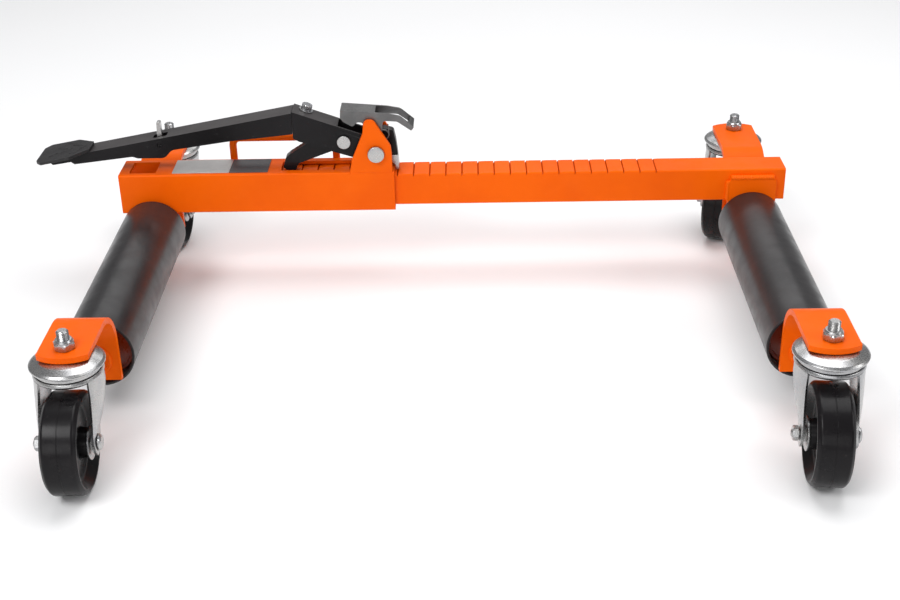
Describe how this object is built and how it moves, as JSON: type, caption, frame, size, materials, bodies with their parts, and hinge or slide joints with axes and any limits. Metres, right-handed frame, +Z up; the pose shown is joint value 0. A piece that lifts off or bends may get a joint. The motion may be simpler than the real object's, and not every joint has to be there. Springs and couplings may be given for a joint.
{
  "type": "vehicle positioning dolly",
  "caption": "U-shaped ratcheting vehicle dolly: rollers joined by a telescoping toothed beam, with a foot pedal, release handle and swivel casters.",
  "frame": {"origin": "centre of the bounding box in plan, on the floor the wheels stand on", "axes": "+X along the beam away from the pedal, +Y from the open side towards the beam, +Z up"},
  "size_m": [0.9014, 0.668, 0.2204],
  "materials": {
    "orange_paint": "glossy orange powder coat",
    "black_paint": "satin black powder coat",
    "roller_coat": "satin black coated steel tube",
    "zinc": "bright zinc plate",
    "steel": "bare grey steel",
    "wheel_black": "glossy hard black wheel",
    "nylon": "matte black plastic",
    "label_metal": "blank silver label",
    "label_dark": "blank dark grey label"
  },
  "bodies": {
    "frame": {"outer_beam": "orange_paint", "ear_front": "orange_paint", "ear_rear": "orange_paint", "main_pivot_pin": "zinc", "label_strip": "label_metal", "rating_plate": "label_dark", "carry_handle": "orange_paint", "bracket_near_left": "orange_paint", "bracket_far_left": "orange_paint", "axle_left": "orange_paint", "pawl_spring": "steel", "caster_near_left_race": "zinc", "caster_near_left_nut": "zinc", "caster_far_left_race": "zinc", "caster_far_left_nut": "zinc"},
    "slide": {"inner_beam": "orange_paint", "ratchet_rack": "orange_paint", "saddle_plate": "orange_paint", "bracket_near_right": "orange_paint", "bracket_far_right": "orange_paint", "axle_right": "orange_paint", "caster_near_right_race": "zinc", "caster_near_right_nut": "zinc", "caster_far_right_race": "zinc", "caster_far_right_nut": "zinc"},
    "left_roller": {"roller_left": "roller_coat", "bushing_near_left": "nylon", "bushing_far_left": "nylon"},
    "right_roller": {"roller_right": "roller_coat", "bushing_near_right": "nylon", "bushing_far_right": "nylon"},
    "pedal": {"pedal_arm": "black_paint", "hinge_arm": "black_paint", "pedal_screw": "zinc", "pedal_pad": "nylon", "pawl_pin": "zinc", "latch_pin": "black_paint"},
    "pawl": {"drive_pawl": "black_paint"},
    "latch": {"storage_latch": "zinc"},
    "handle": {"release_handle": "steel"},
    "holder": {"holding_pawl": "zinc"},
    "fork_nl": {"caster_near_left_fork": "zinc", "caster_near_left_bolt": "zinc"},
    "wheel_nl": {"caster_near_left_wheel": "wheel_black", "caster_near_left_hub": "zinc"},
    "fork_nr": {"caster_near_right_fork": "zinc", "caster_near_right_bolt": "zinc"},
    "wheel_nr": {"caster_near_right_wheel": "wheel_black", "caster_near_right_hub": "zinc"},
    "fork_fl": {"caster_far_left_fork": "zinc", "caster_far_left_bolt": "zinc"},
    "wheel_fl": {"caster_far_left_wheel": "wheel_black", "caster_far_left_hub": "zinc"},
    "fork_fr": {"caster_far_right_fork": "zinc", "caster_far_right_bolt": "zinc"},
    "wheel_fr": {"caster_far_right_wheel": "wheel_black", "caster_far_right_hub": "zinc"}
  },
  "joints": [
    {"name": "beam_slide", "type": "slide", "parent": "frame", "child": "slide", "axis": [1, 0, 0], "range_m": [-0.28, 0.06]},
    {"name": "left_roller_spin", "type": "hinge", "parent": "frame", "child": "left_roller", "pos_m": [-0.31675, 0.1806, 0.0723], "axis": [0, 1, 0], "continuous": true},
    {"name": "right_roller_spin", "type": "hinge", "parent": "slide", "child": "right_roller", "pos_m": [0.41125, 0.1806, 0.0723], "axis": [0, 1, 0], "continuous": true},
    {"name": "caster_nl_swivel", "type": "hinge", "parent": "frame", "child": "fork_nl", "pos_m": [-0.31675, -0.2494, 0.112], "axis": [0, 0, 1], "continuous": true},
    {"name": "caster_nl_roll", "type": "hinge", "parent": "fork_nl", "child": "wheel_nl", "pos_m": [-0.31583, -0.28239, 0.0508], "axis": [0.9996, 0.0279, 0], "continuous": true},
    {"name": "caster_nr_swivel", "type": "hinge", "parent": "slide", "child": "fork_nr", "pos_m": [0.41125, -0.2494, 0.112], "axis": [0, 0, 1], "continuous": true},
    {"name": "caster_nr_roll", "type": "hinge", "parent": "fork_nr", "child": "wheel_nr", "pos_m": [0.40837, -0.28227, 0.0508], "axis": [0.9962, -0.0872, 0], "continuous": true},
    {"name": "caster_fl_swivel", "type": "hinge", "parent": "frame", "child": "fork_fl", "pos_m": [-0.31675, 0.2976, 0.112], "axis": [0, 0, 1], "continuous": true},
    {"name": "caster_fl_roll", "type": "hinge", "parent": "fork_fl", "child": "wheel_fl", "pos_m": [-0.31905, 0.26468, 0.0508], "axis": [0.9976, -0.0698, 0], "continuous": true},
    {"name": "caster_fr_swivel", "type": "hinge", "parent": "slide", "child": "fork_fr", "pos_m": [0.41125, 0.2976, 0.112], "axis": [0, 0, 1], "continuous": true},
    {"name": "caster_fr_roll", "type": "hinge", "parent": "fork_fr", "child": "wheel_fr", "pos_m": [0.39889, 0.267, 0.0508], "axis": [0.9272, -0.3746, 0], "continuous": true},
    {"name": "pedal_pivot", "type": "hinge", "parent": "frame", "child": "pedal", "pos_m": [-0.04095, 0.1806, 0.1666], "axis": [0, 1, 0], "range_deg": [0, 45]},
    {"name": "drive_pawl_pivot", "type": "hinge", "parent": "pedal", "child": "pawl", "pos_m": [-0.07975, 0.1806, 0.1775], "axis": [0, 1, 0], "range_deg": [-68, 0]},
    {"name": "storage_latch_pivot", "type": "hinge", "parent": "pedal", "child": "latch", "pos_m": [-0.30225, 0.1806, 0.176], "axis": [0, 1, 0], "range_deg": [0, 12], "stiffness_Nm_per_rad": 0.08, "springref_deg": -8.59},
    {"name": "release_handle_pivot", "type": "hinge", "parent": "pedal", "child": "handle", "pos_m": [-0.04095, 0.1806, 0.1666], "axis": [0, -1, 0], "range_deg": [0, 15]},
    {"name": "holding_pawl_pivot", "type": "hinge", "parent": "frame", "child": "holder", "pos_m": [-0.04095, 0.1806, 0.1666], "axis": [0, -1, 0], "range_deg": [0, 15], "stiffness_Nm_per_rad": 0.15, "springref_deg": -8.59, "deforming": ["pawl_spring"]}
  ],
  "couplings": [
    {"joint": "drive_pawl_pivot", "follows": "pedal_pivot", "ratio": -1.475},
    {"joint": "holding_pawl_pivot", "follows": "release_handle_pivot", "ratio": 1}
  ]
}
